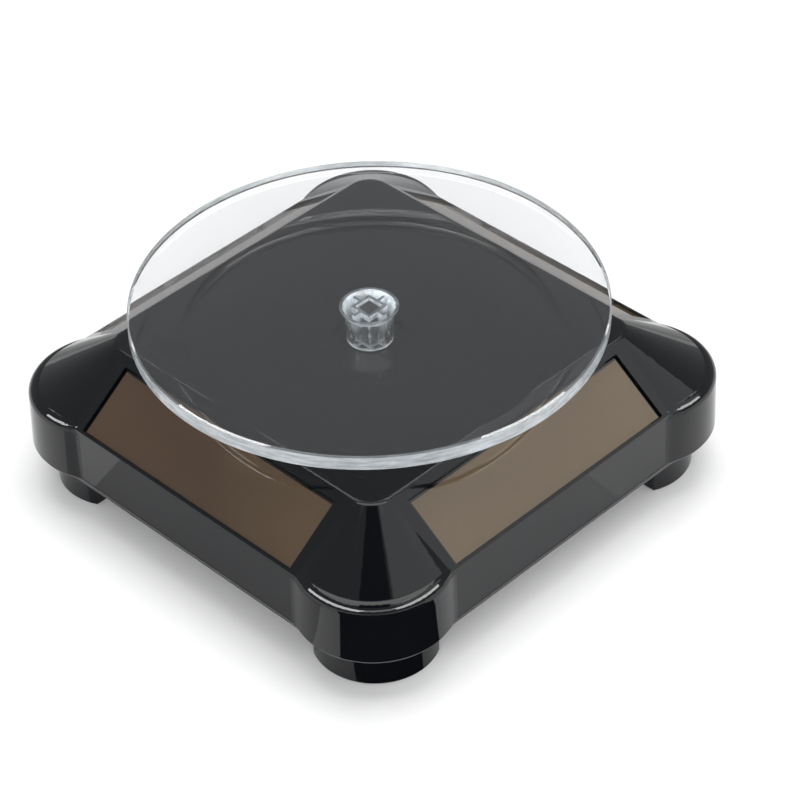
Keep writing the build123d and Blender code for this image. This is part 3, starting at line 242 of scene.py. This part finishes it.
def solar_glass(name):
    """Brown amorphous-silicon cell behind polished glass; painted light makes the brown paler along X + Y, on
    the side where more light falls.
    """
    g = Graph(name)
    axes = g.axes()
    # Painted light: the brown pales along X + Y, towards the side where more light falls; the noise adds
    # random tone
    along = g.math("ADD", axes["X"], axes["Y"])
    cloud = g.ramp(g.noise(30.0, 2.0), 0.3, 0.7, -0.08, 0.08)
    painted_side_light = g.math("ADD", g.ramp(along, -SIDE_LIGHT_REACH, SIDE_LIGHT_REACH), cloud)
    cell_and_painted_light = g.mix(g.ramp(painted_side_light, 0.25, 0.65), rgb(0.050, 0.030, 0.017), rgb(0.086, 0.061, 0.034))
    speck = g.ramp(g.noise(900.0, 2.0), 0.62, 0.80, 0.0, 0.20)
    cell_and_painted_light = g.mix(speck, cell_and_painted_light, rgb(0.050, 0.034, 0.020))
    # Painted shade: a black line round each panel for the shadowed gap
    cell_and_painted_light = g.mix(panel_gap_shade(g, axes), cell_and_painted_light, rgb(0.0012, 0.0012, 0.0014))
    shader = g.principled(
        Base_Color=cell_and_painted_light, Roughness=g.ramp(g.noise(160.0), 0.3, 0.7, 0.30, 0.38), Specular_IOR_Level=0.0,
        Coat_Weight=1.0, Coat_Roughness=g.ramp(g.noise(120.0), 0.3, 0.7, 0.012, 0.035), Coat_IOR=1.5,
        Normal=g.bump(g.noise(50.0, 1.0), 0.03, 0.0006),
    )
    return g.finish(shader)


def clear_plastic(name, ior, tint, frost_and_highlight_of, glow=0.0):
    """Clear plastic, turned pale by the share that the given function returns: frost on the plate's sawn edge,
    painted highlight on the hub; glow is painted glow in the pale parts, standing in for light piped to them.
    """
    g = Graph(name)
    polish = g.ramp(g.noise(400.0), 0.3, 0.8, 0.004, 0.018)
    scratches = g.bump(g.noise(900.0, 2.0, stretch=(1.0, 6.0, 1.0)), 0.012, 0.00004)
    clear = g.principled(
        Base_Color=tint, Roughness=polish, IOR=ior, Transmission_Weight=1.0, Normal=scratches,
    )
    # Pale tone of the real frost on the plate's edge and of the painted highlight on the hub
    frost_and_highlight_tone = g.mix(g.noise(300.0, 2.0), rgb(0.70, 0.77, 0.82), rgb(0.86, 0.90, 0.92))
    # Painted glow: with glow above zero the pale parts give off light, though they are no lamp
    frost_and_highlight = g.principled(
        Base_Color=frost_and_highlight_tone, Roughness=g.ramp(g.noise(700.0), 0.3, 0.8, 0.22, 0.34), IOR=ior,
        Emission_Color=frost_and_highlight_tone, Emission_Strength=glow,
    )
    return g.finish(g.blend(frost_and_highlight_of(g), clear, frost_and_highlight))


def cut_edge(g):
    """The sawn edge of the plate scatters light; its two broad faces are polished."""
    normal = g.tree.nodes.new("ShaderNodeNewGeometry").outputs["Normal"]
    upright = g.math("ABSOLUTE", g.axes(normal)["Z"], 0.0)
    streaks = g.ramp(g.noise(220.0, 2.0, stretch=(1.0, 1.0, 9.0)), 0.3, 0.7, 0.34, 0.58)
    return g.math("MULTIPLY", g.ramp(upright, 0.30, 0.90, 1.0, 0.0), streaks)


def hub_glow(g):
    """Painted highlight and painted glow on the clear hub: inside its flare, on its lip and along its lower
    rim, in streaks.
    """
    level = g.axes()["Z"]
    outward = g.tree.nodes.new("ShaderNodeVectorMath")
    outward.operation = "DOT_PRODUCT"
    g.link(g.tree.nodes.new("ShaderNodeNewGeometry").outputs["Normal"], outward.inputs[0])
    g.link(g.stretched((1.0, 1.0, 0.0)), outward.inputs[1])
    inside = g.ramp(outward.outputs["Value"], -HUB_TURN, HUB_TURN, 1.0, 0.02)
    flare = g.math("MULTIPLY", g.ramp(level, *HUB_FLARE), inside)
    lip = g.ramp(level, *HUB_LIP, 0.0, 0.8)
    rim = g.ramp(level, *HUB_RIM, 0.85, 0.05)
    streaks = g.ramp(g.noise(420.0, 2.0, stretch=(1.0, 1.0, 0.3)), 0.35, 0.65, 0.40, 1.0)
    bright = g.math("MAXIMUM", lip, g.math("MAXIMUM", flare, rim))
    return g.math("MULTIPLY", bright, streaks)


def plastic(name, dark, light, roughness, grain=1200.0):
    """Moulded plastic with a fine grain."""
    g = Graph(name)
    colour = g.mix(g.ramp(g.noise(120.0), 0.3, 0.7), rgb(*dark), rgb(*light))
    shader = g.principled(
        Base_Color=colour, IOR=1.5,
        Roughness=g.ramp(g.noise(500.0), 0.3, 0.7, roughness, roughness + 0.12),
        Normal=g.bump(g.noise(grain, 2.0), 0.08, 0.00006),
    )
    return g.finish(shader)


def metal(name, dark, light, roughness, stretch=(1.0, 1.0, 12.0)):
    """Machined or plated metal with fine drawn lines and duller patches."""
    g = Graph(name)
    lines = g.noise(900.0, 3.0, stretch=stretch)
    colour = g.mix(g.ramp(g.noise(150.0), 0.3, 0.7), rgb(*dark), rgb(*light))
    shader = g.principled(
        Base_Color=colour, Metallic=1.0,
        Roughness=g.ramp(lines, 0.3, 0.7, roughness, roughness + 0.15),
        Normal=g.bump(lines, 0.06, 0.00004),
    )
    return g.finish(shader)


FINISHES = {
    "housing_plastic": gloss_black("housing_plastic"),
    # The base pan's finish carries the painted highlight along its edge under the seam
    "base_plastic": gloss_black("base_plastic", seam_highlight_levels=SEAM_HIGHLIGHT),
    "solar_glass": solar_glass("solar_glass"),
    "clear_acrylic": clear_plastic("clear_acrylic", 1.49, rgb(0.885, 0.890, 0.895), cut_edge),
    # The hub's pale parts are painted highlight, and their emission is painted glow
    "clear_moulding": clear_plastic("clear_moulding", 1.55, rgb(0.97, 0.985, 0.985), hub_glow, 0.14),
    "drive_plastic": plastic("drive_plastic", (0.012, 0.012, 0.013), (0.022, 0.022, 0.024), 0.35),
    "gear_plastic": plastic("gear_plastic", (0.72, 0.70, 0.64), (0.82, 0.81, 0.76), 0.38),
    "pinion_brass": metal("pinion_brass", (0.60, 0.44, 0.20), (0.74, 0.57, 0.30), 0.22),
    "bush_brass": metal("bush_brass", (0.55, 0.40, 0.18), (0.70, 0.53, 0.27), 0.28),
    "washer_plastic": plastic("washer_plastic", (0.76, 0.75, 0.70), (0.86, 0.85, 0.80), 0.45),
    "steel": metal("steel", (0.46, 0.47, 0.49), (0.62, 0.63, 0.65), 0.20),
    "screw_steel": metal("screw_steel", (0.40, 0.40, 0.42), (0.58, 0.58, 0.60), 0.26, (6.0, 6.0, 1.0)),
    "pad_rubber": plastic("pad_rubber", (0.014, 0.014, 0.014), (0.030, 0.030, 0.031), 0.72, 2200.0),
    "can_metal": metal("can_metal", (0.52, 0.53, 0.54), (0.66, 0.67, 0.68), 0.24),
    "battery_jacket": plastic("battery_jacket", (0.05, 0.13, 0.30), (0.08, 0.18, 0.38), 0.18),
    "contact_metal": metal("contact_metal", (0.56, 0.56, 0.57), (0.72, 0.72, 0.73), 0.16),
    "board_laminate": plastic("board_laminate", (0.02, 0.14, 0.06), (0.04, 0.22, 0.09), 0.30),
    "capacitor_sleeve": plastic("capacitor_sleeve", (0.03, 0.04, 0.12), (0.05, 0.07, 0.18), 0.22),
    "diode_body": plastic("diode_body", (0.012, 0.012, 0.012), (0.025, 0.025, 0.025), 0.34),
    "lead_red": plastic("lead_red", (0.38, 0.02, 0.015), (0.52, 0.04, 0.03), 0.34),
    "lead_black": plastic("lead_black", (0.012, 0.012, 0.012), (0.026, 0.026, 0.026), 0.34),
}

# Nodes whose finish is not the one that their material slot names
OWN_FINISH = {"bottom_housing": "base_plastic"}

for entry in frame["record"]["subparts"]:
    materials = frame["nodes"][entry["node"]].data.materials
    materials.clear()
    materials.append(FINISHES[OWN_FINISH.get(entry["node"], entry["material_slot"])])

# ------------------------------------------------------------------ floor and light
FLOOR_HALF = 3.0


def make_floor():
    mesh = bpy.data.meshes.new("floor")
    corners = [(-1, -1), (1, -1), (1, 1), (-1, 1)]
    mesh.from_pydata([(x * FLOOR_HALF, y * FLOOR_HALF, 0.0) for x, y in corners], [], [(0, 1, 2, 3)])
    floor = bpy.data.objects.new("floor", mesh)
    bpy.context.scene.collection.objects.link(floor)
    g = Graph("floor")
    colour = g.mix(g.noise(6.0), rgb(0.82, 0.82, 0.82), rgb(0.85, 0.85, 0.85))
    mesh.materials.append(g.finish(g.principled(Base_Color=colour, Roughness=0.6)))


def way_to(azimuth, elevation):
    """Direction from the object towards a place round it; azimuth 0 is the -Y side, 90 is the +X side."""
    az, el = math.radians(azimuth), math.radians(elevation)
    return Vector((math.sin(az) * math.cos(el), -math.cos(az) * math.cos(el), math.sin(el)))


def make_light(name, azimuth, elevation, distance, size, radiance, gloss=True, diffuse=True):
    """A rectangular soft light on a sphere round the object, facing its middle.

    gloss and diffuse say which of the two kinds of surface it lights; clear surfaces go with gloss.
    """
    data = bpy.data.lights.new(name, "AREA")
    data.shape = "RECTANGLE"
    data.size, data.size_y = size
    data.energy = radiance * math.pi * size[0] * size[1]
    light = bpy.data.objects.new(name, data)
    bpy.context.scene.collection.objects.link(light)
    way = way_to(azimuth, elevation)
    light.location = CAMERA_TARGET + way * distance
    light.rotation_mode = "QUATERNION"
    light.rotation_quaternion = way.to_track_quat("Z", "Y")
    light.visible_glossy = gloss
    light.visible_diffuse = diffuse
    light.visible_transmission = gloss


def make_card(name, corners, shade):
    """A matt card that shows in gloss only; the camera and matt surfaces miss it, and it casts no shadow."""
    mesh = bpy.data.meshes.new(name)
    mesh.from_pydata(corners, [], [tuple(range(len(corners)))])
    card = bpy.data.objects.new(name, mesh)
    bpy.context.scene.collection.objects.link(card)
    g = Graph(name)
    tone = g.mix(g.noise(20.0), rgb(shade, shade, shade), rgb(1.2 * shade, 1.2 * shade, 1.2 * shade))
    mesh.materials.append(g.finish(g.principled(Base_Color=tone, Roughness=0.9, Specular_IOR_Level=0.0)))
    card.visible_camera = False
    card.visible_diffuse = False
    card.visible_transmission = False
    card.visible_shadow = False


def make_world():
    """A pale, even studio all round."""
    world = bpy.data.worlds.new("studio")
    bpy.context.scene.world = world
    world.use_nodes = True
    background = world.node_tree.nodes["Background"]
    background.inputs["Color"].default_value = rgb(0.97, 0.98, 1.0)
    background.inputs["Strength"].default_value = 0.47


make_floor()
make_world()
# The main softbox hangs over the back of the object. The front fill lights matt surfaces only. The low strips
# light none of those: they show in gloss, mostly along the rounded edges, and through clear plastic.
make_light("overhead", 226.0, 76.0, 1.8, (1.6, 1.6), 3.2)
make_light("front_fill", 46.0, 30.0, 1.8, (1.8, 0.9), 4.2, gloss=False)
make_light("right_fill", 126.0, 56.0, 1.5, (1.3, 0.95), 1.15)
for strip, azimuth, size, radiance in (
    ("left_strip", -10.0, (2.0, 0.50), 17.0),
    ("right_strip", 106.0, (1.7, 0.50), 15.0),
    ("middle_strip", 46.0, (1.1, 0.35), 4.5),
):
    make_light(strip, azimuth, 33.0, 1.5, size, radiance, diffuse=False)

# A dark card high over the front corner, for the dark streak on the front cone
CORNER_AZIMUTH = 46.0
STREAK_DISTANCE = 1.2
STREAK_HALF_ANGLE = 14.0
STREAK_LOW, STREAK_HIGH = 58.0, 82.0
DARK = 0.004
make_card("streak_card", [
    tuple(
        CAMERA_TARGET
        + way_to(CORNER_AZIMUTH + side * STREAK_HALF_ANGLE / math.cos(math.radians(height)), height)
        * STREAK_DISTANCE
    )
    for side, height in ((-1, STREAK_LOW), (1, STREAK_LOW), (1, STREAK_HIGH), (-1, STREAK_HIGH))
], DARK)

# Cards lying on the floor: black before the front tower, grey along the front walls and behind the body
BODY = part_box("top_housing")
WALL_X, WALL_Y = BODY[1][0], BODY[0][1]
CARD_HEIGHT = 0.05 * MM
REAR_GAP = 6.0 * MM
REAR_REACH = 250.0 * MM


def lie_card(name, outline, shade, height=CARD_HEIGHT):
    """A card lying a hair above the floor, with its outline as X and Y pairs."""
    make_card(name, [(x, y, height) for x, y in outline], shade)


lie_card("tower_card", [
    (WALL_X - 10.0 * MM, WALL_Y + 9.0 * MM),
    (WALL_X - 13.0 * MM, WALL_Y - 90.0 * MM),
    (WALL_X + 90.0 * MM, WALL_Y - 90.0 * MM),
    (WALL_X + 90.0 * MM, -20.0 * MM),
    (WALL_X + 14.0 * MM, -20.0 * MM),
    (WALL_X - 5.0 * MM, -36.0 * MM),
    (WALL_X - 9.0 * MM, WALL_Y + 10.0 * MM),
], DARK, 2 * CARD_HEIGHT)
lie_card("left_apron", [
    (-WALL_X + 20.0 * MM, WALL_Y + 5.0 * MM),
    (-WALL_X + 5.0 * MM, WALL_Y - 40.0 * MM),
    (WALL_X - 30.0 * MM, WALL_Y - 40.0 * MM),
    (WALL_X - 22.0 * MM, WALL_Y + 5.0 * MM),
], 0.52)
lie_card("right_apron", [
    (WALL_X - 5.0 * MM, -WALL_X),
    (WALL_X + 40.0 * MM, -WALL_X),
    (WALL_X + 40.0 * MM, 30.0 * MM),
    (WALL_X - 5.0 * MM, 22.0 * MM),
], 0.72)
lie_card("rear_apron", [
    (-WALL_X - REAR_GAP, 0.0),
    (-WALL_X - REAR_GAP, WALL_X + REAR_GAP),
    (0.0, WALL_X + REAR_GAP),
    (0.0, WALL_X + REAR_REACH),
    (-WALL_X - REAR_REACH, WALL_X + REAR_REACH),
    (-WALL_X - REAR_REACH, 0.0),
], 0.42)
bpy.context.scene.view_settings.view_transform = "Standard"
